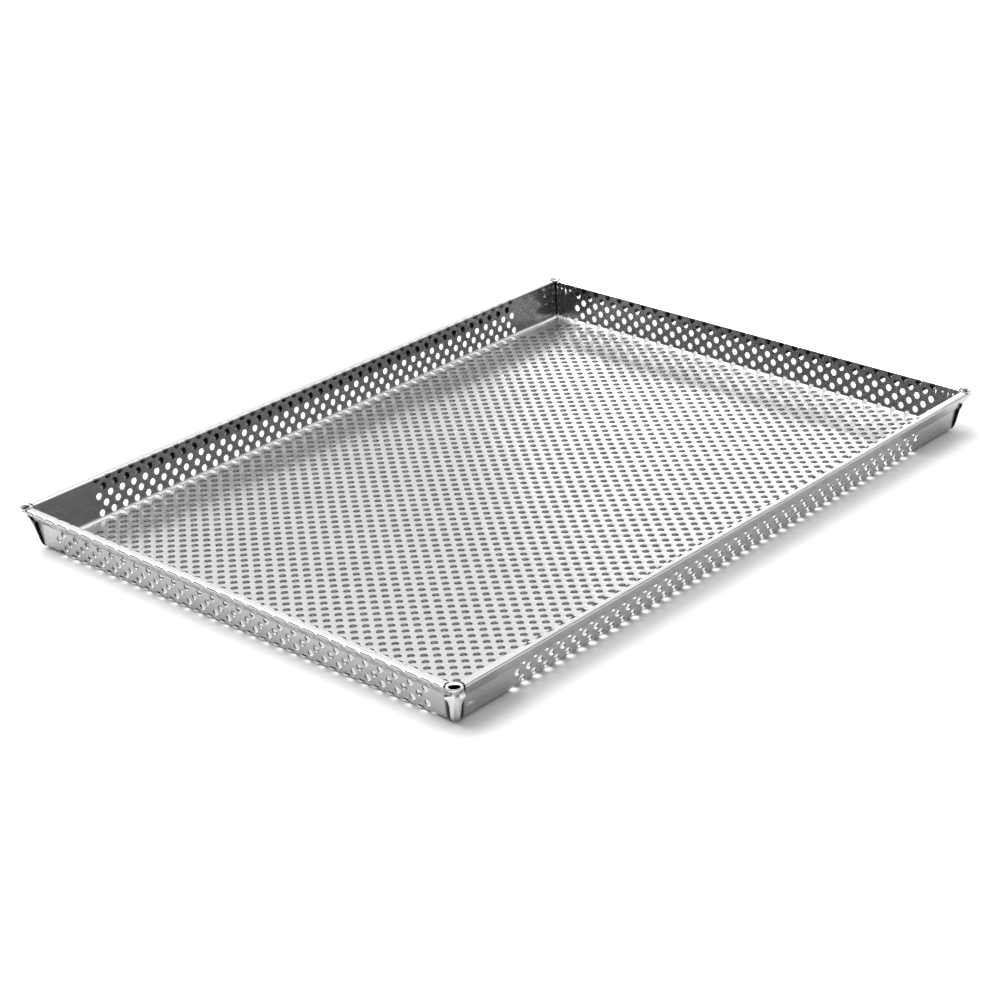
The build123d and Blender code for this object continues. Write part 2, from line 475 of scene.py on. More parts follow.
@dataclass(frozen=True)
class PinchedShape:
    """Outline of a corner fold, level by level.

    The spare metal stands off the corner as a hollow ear at the top, is nipped to a
    neck below it, spreads into two shoulders and runs down as a tapering ridge. Each
    level has, in millimetres: height, then the setback along the corner's diagonal of
    its outermost point, of its widest place and of its innermost point, then how far it
    reaches to the left and to the right, and how deep the crease on its right is.
    """

    levels: tuple[tuple[float, ...], ...] = (
        (0.35, 13.3, 13.6, 14.2, 0.35, 0.35, 0.0),
        (1.0, 12.0, 12.8, 13.8, 1.20, 1.20, 0.0),
        (2.4, 10.7, 11.7, 12.6, 2.00, 2.00, 0.0),
        (4.6, 9.6, 10.8, 11.8, 2.40, 2.50, 0.0),
        (8.0, 8.45, 9.9, 11.0, 2.60, 2.85, 0.0),
        (12.0, 7.2, 8.9, 10.1, 2.90, 3.35, 0.0),
        (14.4, 6.45, 8.4, 9.7, 3.60, 4.10, 0.02),
        (16.2, 5.80, 7.9, 9.4, 4.85, 5.10, 0.06),
        (17.3, 5.40, 7.5, 9.2, 4.80, 5.40, 0.12),
        (18.1, 4.95, 7.3, 9.1, 2.30, 5.30, 0.26),
        (19.2, 4.30, 6.9, 9.0, 1.45, 5.05, 0.34),
        (20.6, 3.20, 6.3, 8.9, 1.55, 4.85, 0.34),
        (22.2, 1.80, 5.5, 8.7, 2.40, 4.75, 0.26),
        (23.6, 0.70, 4.8, 8.6, 3.90, 4.65, 0.12),
        (24.5, 0.15, 4.55, 8.7, 4.50, 4.50, 0.0),
        (25.0, 0.40, 4.50, 8.5, 4.25, 4.25, 0.0),
    )
    crease_turn: float = 52.0   # degrees from straight out to the crease's middle
    crease_spread: float = 17.0
    squeeze: float = 1.0        # 1 for an oval ear, towards 2 for one drawn out to a point
    ridge_squeeze: float = 1.45  # the same for the ridge, at the least
    neck: tuple[float, float] = (16.5 * MM, 20.5 * MM)   # heights where the ridge turns into the ear
    groove: tuple[float, float] = (0.54, 0.68)   # shares of a side's end zone that take painted shade beside the ridge

    def outline(self, height: float, turn: np.ndarray) -> tuple[np.ndarray, np.ndarray]:
        """Points around the fold at one height.

        Args:
            height: Height in metres.
            turn: Angles in radians, from straight out along the diagonal to the right.

        Returns:
            Distances across the diagonal and setbacks along it, in metres.
        """
        table = np.array(self.levels)
        front, middle, back, left, right, crease = eased(table[:, 0] * MM, table[:, 1:], height)
        share = min(max((height - self.neck[0]) / (self.neck[1] - self.neck[0]), 0.0), 1.0)
        power = self.squeeze * share + max(self.squeeze, self.ridge_squeeze) * (1 - share)
        sine, cosine = (np.sign(v) * np.abs(v) ** power for v in (np.sin(turn), np.cos(turn)))
        across = np.where(sine >= 0, right, left) * sine
        along = np.where(cosine >= 0, front - middle, middle - back) * cosine
        offset = np.degrees(np.angle(np.exp(1j * turn))) - self.crease_turn
        nip = 1 - crease * np.exp(-((offset / self.crease_spread) ** 2))
        return across * nip * MM, (middle + along * nip) * MM

    def rim_limit(self, inset: float, height: float, on_right: bool) -> float:
        """How far from the corner the fold reaches along a rim.

        Args:
            inset: Distance in from the rim's outer edge.
            height: Height of the point.
            on_right: True for the rim on the fold's right.

        Returns:
            The distance along the rim, or zero where the fold isn't met.
        """
        across, setback = self.outline(height, np.linspace(0, 2 * np.pi, 145))
        across = across if on_right else -across
        along, inward = (setback + across) / math.sqrt(2), (setback - across) / math.sqrt(2)
        before, after = inward[:-1] - inset, inward[1:] - inset
        crossing = before * after <= 0
        if not crossing.any():
            return 0.0
        share = before[crossing] / np.where(before == after, 1.0, before - after)[crossing]
        return float((along[:-1][crossing] + share * (along[1:] - along[:-1])[crossing]).max())


def eased(knots: np.ndarray, rows: np.ndarray, at: float) -> np.ndarray:
    """Reads a table of values smoothly between its rows.

    Args:
        knots: Where each row stands, rising.
        rows: One row of values for each knot.
        at: Where to read, held to the table's ends.

    Returns:
        One row of values.
    """
    at = min(max(at, knots[0]), knots[-1])
    k = min(int(np.searchsorted(knots, at, side="right")) - 1, len(knots) - 2)
    slopes = np.gradient(rows, knots, axis=0)
    span = knots[k + 1] - knots[k]
    t = (at - knots[k]) / span
    return (
        (1 + 2 * t) * (1 - t) ** 2 * rows[k]
        + t * (1 - t) ** 2 * span * slopes[k]
        + t * t * (3 - 2 * t) * rows[k + 1]
        + t * t * (t - 1) * span * slopes[k + 1]
    )


# ---------------------------------------------------------------- finishes


class Reading:
    """A number from a node's socket. Arithmetic on it adds Math nodes."""

    def __init__(self, bench: "Bench", socket: bpy.types.NodeSocket) -> None:
        """Wraps one socket of the bench's node tree."""
        self.bench = bench
        self.socket = socket

    def _math(self, operation: str, first: "Reading | float", second: "Reading | float") -> "Reading":
        """A Math node on two values."""
        node = self.bench.node("ShaderNodeMath", {"operation": operation}, {0: first, 1: second})
        return Reading(self.bench, node.outputs[0])

    def __add__(self, other: "Reading | float") -> "Reading":
        """This plus other."""
        return self._math("ADD", self, other)

    __radd__ = __add__

    def __mul__(self, other: "Reading | float") -> "Reading":
        """This times other."""
        return self._math("MULTIPLY", self, other)

    __rmul__ = __mul__

    def over(self, low: float, high: float) -> "Reading":
        """This spread from low to high onto 0 to 1, and held there."""
        inputs = {"Value": self, "From Min": low, "From Max": high}
        node = self.bench.node("ShaderNodeMapRange", {"interpolation_type": "SMOOTHSTEP"}, inputs)
        return Reading(self.bench, node.outputs["Result"])


class Bench:
    """The node tree of one material or world, while it is being wired."""

    def __init__(self, tree: bpy.types.NodeTree) -> None:
        """Clears the tree and keeps it."""
        tree.nodes.clear()
        self.tree = tree

    def node(self, kind: str, settings: dict | None = None, inputs: dict | None = None) -> bpy.types.Node:
        """Adds one node.

        Args:
            kind: The node's type.
            settings: Its own settings, set first. "stops" holds a ramp's (place, colour) pairs.
            inputs: Values, Readings or sockets for its inputs, by name or number.

        Returns:
            The node.
        """
        node = self.tree.nodes.new(kind)
        for name, value in (settings or {}).items():
            if name != "stops":
                setattr(node, name, value)
                continue
            ramp = node.color_ramp
            while len(ramp.elements) < len(value):
                ramp.elements.new(1.0)
            for element, (place, colour) in zip(ramp.elements, value):
                element.position, element.color = place, colour
        for name, value in (inputs or {}).items():
            socket = node.inputs[name]
            if isinstance(value, Reading):
                value = value.socket
            if isinstance(value, bpy.types.NodeSocket):
                self.tree.links.new(value, socket)
            else:
                socket.default_value = value
        return node

    def noise(self, place: bpy.types.NodeSocket, grain: "Grain") -> Reading:
        """One layer of noise on the unfolded sheet, around one half."""
        shift = (grain.seed, grain.seed * 0.7, 0.0)
        moved = self.node("ShaderNodeVectorMath", {"operation": "ADD"}, {0: place, 1: shift})
        inputs = {0: moved.outputs[0], 1: (*grain.stretch, 1.0)}
        scaled = self.node("ShaderNodeVectorMath", {"operation": "MULTIPLY"}, inputs)
        inputs = {"Vector": scaled.outputs[0], "Scale": 1.0, "Detail": grain.detail}
        inputs["Roughness"] = grain.fineness
        noise = self.node("ShaderNodeTexNoise", {"noise_dimensions": "2D"}, inputs)
        return Reading(self, noise.outputs[0])

    def mixed(
        self, factor: Reading, first: tuple | bpy.types.NodeSocket, second: tuple | bpy.types.NodeSocket
    ) -> bpy.types.NodeSocket:
        """A colour from first to second by a factor."""
        inputs = {0: factor, 6: first, 7: second}
        return self.node("ShaderNodeMix", {"data_type": "RGBA"}, inputs).outputs[2]


@dataclass(frozen=True)
class Grain:
    """One layer of noise on the unfolded sheet."""

    stretch: tuple[float, float]               # features per decimetre along the sheet's X and Y
    detail: float                              # layers of finer noise
    seed: float                                # moves the pattern, so that no two are alike
    span: tuple[float, float] = (0.0, 1.0)     # the part of the noise that shows
    fineness: float = 0.55


ROLLING_LINES = Grain((1.2, 160.0), 3.0, 3.1)
GRIT = Grain((110.0, 190.0), 2.0, 7.7)
SMUDGES = Grain((2.4, 3.1), 4.0, 1.3, (0.38, 0.66))
FLECKS = Grain((26.0, 31.0), 3.0, 5.9, (0.45, 0.75))
SLOW_WAVES = Grain((1.5, 1.9), 1.0, 9.4)
SCUFFS = Grain((9.0, 120.0), 1.0, 12.6, (0.60, 0.72))


@dataclass(frozen=True)
class RolledAluminium:
    """Mill-rolled aluminium that has been handled: rolling lines, slow waves, smudges and scuffs.

    Faces that look up are painted lighter and faces that look sideways painted darker: painted light and
    shade by facing.
    The creases that the mesh marks take a near-black painted shade.
    """

    slot: str
    # Painted light and shade by facing: the lit tone for faces that look up, the shaded tone for faces that
    # look sideways.
    painted_lit_tone: tuple[float, float, float] = (0.76, 0.765, 0.77)
    painted_shaded_tone: tuple[float, float, float] = (0.44, 0.445, 0.45)
    # near-black tone of the painted shade in the marked creases, hole edges and throat
    painted_shade: tuple[float, float, float] = (0.035, 0.034, 0.033)
    painted_light_rise: tuple[float, float] = (0.25, 0.85)   # rise of a face's direction, from the painted shaded tone to the painted lit tone
    stain: float = 0.20                          # how far a worn place is stained
    stain_tone: float = 0.5                      # of the stain, against the painted shaded tone
    smudge_share: float = 0.6                    # of the wear, and flecks are the rest
    roughness: float = 0.22
    smudging: float = 0.10                       # what wear adds to the roughness
    grit_roughness: float = 0.06                 # what grit adds to it
    scuff_roughness: float = 0.05                # what a scuff adds to it
    lines: float = 0.010 * MM                    # height of the rolling lines
    grit_height: float = 0.8                     # against the rolling lines
    waves: float = 0.35 * MM                     # height of the slow waves
    scuffs: float = 0.02 * MM                    # height of a scuff's edge

    def material(self) -> bpy.types.Material:
        """The finish as a material, made once for each slot."""
        name = f"{self.slot}_finish"
        made = bpy.data.materials.get(name)
        if made:
            return made
        made = bpy.data.materials.new(name)
        made.use_nodes = True
        bench = Bench(made.node_tree)
        place = bench.node("ShaderNodeUVMap", {"uv_map": SHEET_MAP}).outputs["UV"]
        grit = bench.noise(place, GRIT)
        scuff = bench.noise(place, SCUFFS).over(*SCUFFS.span)
        smudge = bench.noise(place, SMUDGES).over(*SMUDGES.span)
        fleck = bench.noise(place, FLECKS).over(*FLECKS.span)
        worn = smudge * self.smudge_share + fleck * (1 - self.smudge_share)
        inputs = {
            "Base Color": self._colour(bench, worn),
            "Metallic": 1.0,
            "Roughness": self._roughness(worn, grit, scuff),
            "Normal": self._relief(bench, place, grit, scuff),
        }
        surface = bench.node("ShaderNodeBsdfPrincipled", None, inputs)
        bench.node("ShaderNodeOutputMaterial", None, {"Surface": surface.outputs[0]})
        return made

    def _colour(self, bench: Bench, worn: Reading) -> bpy.types.NodeSocket:
        """Painted lighter where the face looks up and darker where it looks sideways, stained where worn, and
        with painted shade in the marked creases.
        """
        # Painted light and shade: lighter on faces that look up, darker on faces that look sideways.
        facing_way = bench.node("ShaderNodeNewGeometry").outputs["Normal"]
        rise = bench.node("ShaderNodeSeparateXYZ", None, {0: facing_way}).outputs["Z"]
        painted_light_rise = Reading(bench, rise).over(*self.painted_light_rise)
        metal = bench.mixed(painted_light_rise, (*self.painted_shaded_tone, 1.0), (*self.painted_lit_tone, 1.0))
        stain = [shade * self.stain_tone for shade in self.painted_shaded_tone]
        stained = bench.mixed(worn * self.stain, metal, (*stain, 1.0))
        # Painted shade: the mark darkens the metal toward the near-black tone.
        painted_shade_share = bench.node("ShaderNodeAttribute", {"attribute_name": PAINTED_SHADE_MARK}).outputs["Fac"]
        return bench.mixed(Reading(bench, painted_shade_share), stained, (*self.painted_shade, 1.0))

    def _roughness(self, worn: Reading, grit: Reading, scuff: Reading) -> Reading:
        """Rougher where worn, gritty or scuffed."""
        clean = self.roughness - self.grit_roughness
        return worn * self.smudging + grit * self.grit_roughness + scuff * self.scuff_roughness + clean

    def _relief(
        self, bench: Bench, place: bpy.types.NodeSocket, grit: Reading, scuff: Reading
    ) -> bpy.types.NodeSocket:
        """Slow waves under fine rolling lines, grit and scuffs."""
        waves = bench.noise(place, SLOW_WAVES)
        slow = bench.node("ShaderNodeBump", None, {"Strength": 1.0, "Distance": self.waves, "Height": waves})
        rolling = bench.noise(place, ROLLING_LINES)
        fine = rolling + grit * self.grit_height + scuff * (self.scuffs / self.lines)
        inputs = {"Strength": 1.0, "Distance": self.lines, "Height": fine, "Normal": slow.outputs[0]}
        return bench.node("ShaderNodeBump", None, inputs).outputs[0]

    def dress(self, piece: bpy.types.Object) -> None:
        """Puts the finish on a piece."""
        piece.data.materials.clear()
        piece.data.materials.append(self.material())


PERFORATED = RolledAluminium("perforated_sheet")
FOLDED = RolledAluminium(
    "folded_rim",
    # painted light on the crest and painted shade on the lip, by facing
    painted_lit_tone=(0.90, 0.905, 0.91),
    painted_shaded_tone=(0.47, 0.475, 0.48),
    roughness=0.20,
    smudging=0.08,
    waves=0.45 * MM,
)
PINCHED = RolledAluminium(
    "pinched_corner",
    # painted light and shade by facing
    painted_lit_tone=(0.93, 0.925, 0.91),
    painted_shaded_tone=(0.74, 0.735, 0.72),
    stain=0.08,
    roughness=0.13,
    smudging=0.06,
    waves=0.5 * MM,
)


# ---------------------------------------------------------------- pieces


def place_piece(piece: bpy.types.Object, node: str, finish: RolledAluminium) -> bpy.types.Object:
    """Puts a finished mesh in the scene in place of one node of the part."""
    bpy.context.scene.collection.objects.link(piece)
    finish.dress(piece)
    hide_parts(node)
    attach(piece, BODY)
    log.info("%s: %d faces", piece.name, len(piece.data.polygons))
    return piece


@dataclass
class FoldedMesh:
    """A flat sheet given its thickness and folded into place."""

    flat: FlatSheet
    sheet: float
    radius: float
    roll_over: float = math.radians(2.5)   # how far the punched edge is drawn down
    cut_painted_shade: float = 0.55                 # how much painted shade the cut edge inside a hole takes
    edge_slack: float = 0.04               # of a hole's radius, in telling which points are on its edge

    def build(
        self,
        name: str,
        place: Callable[[np.ndarray, float], np.ndarray],
        axes: Callable[[np.ndarray], tuple[np.ndarray, np.ndarray, np.ndarray]],
        creases: Callable[[np.ndarray, Face], np.ndarray] | None = None,
    ) -> bpy.types.Object:
        """Makes the closed mesh.

        Args:
            name: The piece's name.
            place: Takes flat points and a step from the sheet's middle to their places.
            axes: Takes flat points to the directions of the sheet's X, Y and shown face there.
            creases: Takes flat points to how much painted shade they take on one face, or nothing for a sheet
                without it.

        Returns:
            The mesh object, not yet in the scene.
        """
        flat, triangles = self.flat.points, self.flat.triangles
        count = len(flat)
        backs = triangles[:, ::-1]
        directed = np.vstack([triangles[:, [0, 1]], triangles[:, [1, 2]], triangles[:, [2, 0]]])
        _, index, uses = np.unique(np.sort(directed, 1), axis=0, return_inverse=True, return_counts=True)
        border = directed[uses[index.reshape(-1)] == 1]
        shown = place(flat, Face.SHOWN.value * self.sheet / 2)
        backed = place(flat, Face.BACKED.value * self.sheet / 2)
        points = np.vstack([shown, backed])
        along, outward, normal = axes(flat)
        toward = self._toward_hole()
        radial = along * toward[:, :1] + outward * toward[:, 1:]
        rim = np.abs(toward).sum(1) > 0
        top = normal.copy()
        top[rim] = normal[rim] * math.cos(self.roll_over) + radial[rim] * math.sin(self.roll_over)
        walls = np.stack([border[:, 0], border[:, 0] + count, border[:, 1] + count, border[:, 1]], 1)
        start = points[walls[:, 0]]
        face_normal = unit(np.cross(points[walls[:, 1]] - start, points[walls[:, 3]] - start))
        in_hole = rim[border].all(1)
        wall_normal = np.repeat(face_normal[:, None], 4, 1)
        around = radial[np.stack([border[:, 0], border[:, 0], border[:, 1], border[:, 1]], 1)]
        wall_normal[in_hole] = around[in_hole]
        mesh = bpy.data.meshes.new(name)
        faces = triangles.tolist() + (backs + count).tolist() + walls.tolist()
        mesh.from_pydata(points.tolist(), [], faces)
        loops = np.concatenate([triangles.ravel(), backs.ravel(), (walls % count).ravel()])
        chart = mesh.uv_layers.new(name=SHEET_MAP)
        chart.uv.foreach_set("vector", (flat[loops] * MAP_SCALE).astype(np.float32).ravel())
        normals = np.vstack([top[triangles.ravel()], -normal[backs.ravel()], wall_normal.reshape(-1, 3)])
        mesh.polygons.foreach_set("use_smooth", np.ones(len(mesh.polygons), bool))
        mesh.normals_split_custom_set(unit(normals).tolist())
        # Painted shade: along the marked creases and on the cut edges inside the holes.
        painted_shade = np.concatenate([creases(flat, face) if creases else np.zeros(count) for face in Face])
        cut_painted_shade = painted_shade[walls]
        cut_painted_shade[in_hole] = self.cut_painted_shade
        sheet_painted_shade = painted_shade[np.concatenate([triangles.ravel(), (backs + count).ravel()])]
        mark = mesh.attributes.new(PAINTED_SHADE_MARK, "FLOAT", "CORNER")
        mark.data.foreach_set("value", np.concatenate([sheet_painted_shade, cut_painted_shade.ravel()]).astype(np.float32))
        mesh.update()
        return bpy.data.objects.new(name, mesh)

    def _toward_hole(self) -> np.ndarray:
        """For points on a hole's edge, the flat direction to the hole's middle, and zero for others."""
        middles, spans = self.flat.nearest_holes()
        on_edge = np.abs(spans - self.radius) < self.edge_slack * self.radius
        toward = np.zeros_like(self.flat.points)
        toward[on_edge] = (middles - self.flat.points)[on_edge] / spans[on_edge][:, None]
        return toward


def unit(vectors: np.ndarray) -> np.ndarray:
    """The same directions, each of length one."""
    return vectors / np.maximum(np.linalg.norm(vectors, axis=-1, keepdims=True), 1e-12)


@dataclass
class FloorPanel:
    """The flat perforated floor."""

    sizes: TraySizes
    punching: Punching
    hole_sides: int = 13

    def is_punched(self, x: float, y: float) -> bool:
        """False near a corner of the blank, where the floor's edge is left plain."""
        s = self.sizes
        beyond_row = abs(y) > s.floor_y - self.punching.row
        beyond_column = abs(x) > s.floor_x - self.punching.column
        near_end = abs(x) > s.half_length - s.plain_end_long
        near_side = abs(y) > s.half_width - s.plain_end_short
        return not ((beyond_row and near_end) or (beyond_column and near_side))

    def place(self, flat: np.ndarray, step: float) -> np.ndarray:
        """Flat points at a step from the middle of the floor's thickness."""
        return np.column_stack([flat, np.full(len(flat), self.sizes.sheet / 2 + step)])

    def axes(self, flat: np.ndarray) -> tuple[np.ndarray, np.ndarray, np.ndarray]:
        """The floor's directions, the same everywhere."""
        return tuple(np.tile(row, (len(flat), 1)) for row in np.eye(3))

    def build(self) -> bpy.types.Object:
        """Makes the floor and puts it in place."""
        s = self.sizes
        low, high = (-s.floor_x, -s.floor_y), (s.floor_x, s.floor_y)
        flat = FlatSheet.cut(self.punching, low, high, self.hole_sides, self.is_punched, [], [])
        piece = FoldedMesh(flat, s.sheet, self.punching.radius).build("tray_floor", self.place, self.axes)
        return place_piece(piece, "floor_panel", PERFORATED)


@dataclass
class TraySide:
    """One side of the tray: its perforated wall and its folded rim."""

    side: Side
    sizes: TraySizes
    punching: Punching
    pinches: dict[Corner, PinchedShape]
    hole_sides: int = 16
    end_zone: float = 17.0 * MM       # stretch of the run, next to a corner, that takes up the mitre
    fold_gap: float = 0.55 * MM       # between a rim's end and the corner fold
    mitre_gap: float = 2.2 * MM       # the least distance from a rim's end to the mitre
    mitre_end: float = 0.3 * MM       # past the crest's fold, where the ends start to clear the corner fold
    end_line: tuple[float, float] = (0.035, 0.08)   # shares of the end zone where a rim's end takes painted shade
    pieces: tuple[int, ...] = (8, 1, 5, 5, 8, 9)    # that each stretch of the section is drawn with

    def __post_init__(self) -> None:
        """Works out the section and where the wall hands over to the rim."""
        s = self.sizes
        drop = s.lip_drop_long if self.side.is_long else s.lip_drop_short
        self.profile = SideProfile(s, drop)
        self.path = self.profile.path()
        self.half_run = s.half_length if self.side.is_long else s.half_width
        self.half_out = s.half_width if self.side.is_long else s.half_length
        self.floor_half = s.floor_y if self.side.is_long else s.floor_x
        self.plain_end = s.plain_end_long if self.side.is_long else s.plain_end_short
        spacing = self.punching.row if self.side.is_long else self.punching.column
        shift = self.punching.shift * self.side.sign if self.side.is_long else 0.0
        self.crest_fold = self.path.stretches[0][0] + self.path.stretches[1][0]
        top = math.floor((self.floor_half + self.crest_fold + self.punching.radius / 2 - shift) / spacing)
        self.top_row = top * spacing + shift - self.floor_half
        self.seam = self.top_row - spacing / 2

    def travel(self, flat: np.ndarray) -> np.ndarray:
        """Distance past the floor's edge of flat points."""
        return flat[:, 1 if self.side.is_long else 0] * self.side.sign - self.floor_half

    def is_punched(self, x: float, y: float) -> bool:
        """True in the wall's perforated band."""
        along, out = (x, y) if self.side.is_long else (y, x)
        travel = out * self.side.sign - self.floor_half
        in_run = abs(along) <= self.half_run - self.plain_end
        return in_run and travel <= self.top_row + self.punching.radius / 4

    def run_end(
        self, travel: np.ndarray, inset: np.ndarray, height: np.ndarray, positive: bool
    ) -> np.ndarray:
        """Distance from the rim's corner where the sheet ends.

        Args:
            travel: Distance past the floor's edge of each point.
            inset: Each point's distance in from the rim's outer edge.
            height: Each point's height.
            positive: True for the end where the run's coordinate is positive.

        Returns:
            One distance for each point.
        """
        on_right = (positive != (self.side.sign < 0)) == self.side.is_long
        pinch = self.pinch_at(positive)
        ends = inset.copy()
        for k in np.nonzero(travel > self.crest_fold + self.mitre_end)[0]:
            limit = pinch.rim_limit(float(inset[k]), float(height[k]), on_right) + self.fold_gap
            ends[k] = max(limit, inset[k] + self.mitre_gap)
        return ends

    def creases(self, flat: np.ndarray, face: Face) -> np.ndarray:
        """How much painted shade flat points take beside the corner folds, from 0 to 1, on one face."""
        along = flat[:, 0 if self.side.is_long else 1]
        share = (self.half_run - np.abs(along)) / self.end_zone
        # Painted shade: a dark line at the rim's end, and below the crest fold on the backed face a dark root
        # beside the ridge.
        end = np.clip((self.end_line[1] - share) / (self.end_line[1] - self.end_line[0]), 0, 1)
        if face is Face.SHOWN:
            return end
        grooves = np.array([self.pinch_at(positive).groove for positive in (False, True)])
        low, high = grooves[(along > 0).astype(int)].T
        root = np.clip((high - share) / (high - low), 0, 1)
        return np.where(self.travel(flat) < self.crest_fold, root, end)

    def pinch_at(self, positive: bool) -> PinchedShape:
        """The shape of the corner fold at one end of the run."""
        end = 1 if positive else -1
        return self.pinches[Corner((end, self.side.sign) if self.side.is_long else (self.side.sign, end))]

    def place(self, flat: np.ndarray, step: float) -> np.ndarray:
        """Takes flat points to the folded side, at a step from the sheet's middle."""
        travel = self.travel(flat)
        inset, height, slope = self.path.at(travel)
        inset = inset + step * np.sin(slope)
        height = height + step * np.cos(slope)
        along = flat[:, 0 if self.side.is_long else 1].copy()
        for positive in (True, False):
            sign = 1.0 if positive else -1.0
            from_corner = self.half_run - along * sign
            zone = np.nonzero(from_corner < self.end_zone)[0]
            ends = self.run_end(travel[zone], inset[zone], height[zone], positive)
            share = np.clip(from_corner[zone] / self.end_zone, 0.0, 1.0)
            along[zone] = sign * (self.half_run - (ends + (self.end_zone - ends) * share))
        out = self.side.sign * (self.half_out - inset)
        return np.column_stack([along, out, height] if self.side.is_long else [out, along, height])

    def axes(self, flat: np.ndarray) -> tuple[np.ndarray, np.ndarray, np.ndarray]:
        """Directions of the sheet's X, Y and shown face at flat points."""
        slope = self.path.at(self.travel(flat))[2]
        run = np.tile((1.0, 0.0, 0.0) if self.side.is_long else (0.0, 1.0, 0.0), (len(flat), 1))
        out = np.array([*self.side.value, 0.0])
        rise = np.outer(np.cos(slope), out) * self.side.sign + np.outer(np.sin(slope), (0, 0, self.side.sign))
        normal = np.outer(-np.sin(slope), out) + np.outer(np.cos(slope), (0, 0, 1))
        return (run, rise, normal) if self.side.is_long else (rise, run, normal)

    def band(self, start: float, end: float, breaks: list[float]) -> FlatSheet:
        """The flat sheet of this side from one travel to another.

        Args:
            start: Travel where the band starts.
            end: Travel where it ends.
            breaks: Travels where it needs points.

        Returns:
            The punched band.
        """
        outs = sorted(self.side.sign * (self.floor_half + travel) for travel in (start, end))
        ends = (-self.half_run, self.half_run)
        scores = [self.side.sign * (self.floor_half + travel) for travel in breaks if start < travel < end]
        zones = []
        for positive in (False, True):
            shares = (*self.end_line, *self.pinch_at(positive).groove, 1.0)
            zones += [(1 if positive else -1) * (self.half_run - share * self.end_zone) for share in shares]
        if self.side.is_long:
            low, high, score_x, score_y = (ends[0], outs[0]), (ends[1], outs[1]), zones, scores
        else:
            low, high, score_x, score_y = (outs[0], ends[0]), (outs[1], ends[1]), scores, zones
        sheet = FlatSheet.cut(self.punching, low, high, self.hole_sides, self.is_punched, score_x, score_y)
        if end > self.crest_fold:
            self.flatten_holes(sheet)
        return sheet

    def flatten_holes(self, sheet: FlatSheet) -> None:
        """Cuts the top row's holes straight along the crest's fold, so the crest stays whole."""
        on_edge = sheet.nearest_holes()[1] < self.punching.radius * 1.01
        over = on_edge & (self.travel(sheet.points) > self.crest_fold)
        axis = 1 if self.side.is_long else 0
        sheet.points[over, axis] = self.side.sign * (self.floor_half + self.crest_fold)

    def build(self) -> list[bpy.types.Object]:
        """Makes the wall and the rim and puts them in place."""
        breaks = self.path.breaks(self.pieces)
        made = []
        for start, end, name, finish in (
            (0.0, self.seam, "wall", PERFORATED),
            (self.seam, self.path.length, "rim", FOLDED),
        ):
            flat = self.band(start, end, breaks)
            mesh = FoldedMesh(flat, self.sizes.sheet, self.punching.radius)
            piece = mesh.build(f"tray_{self.side.label}_{name}", self.place, self.axes, self.creases)
            made.append(place_piece(piece, f"{self.side.label}_{name}", finish))
        return made


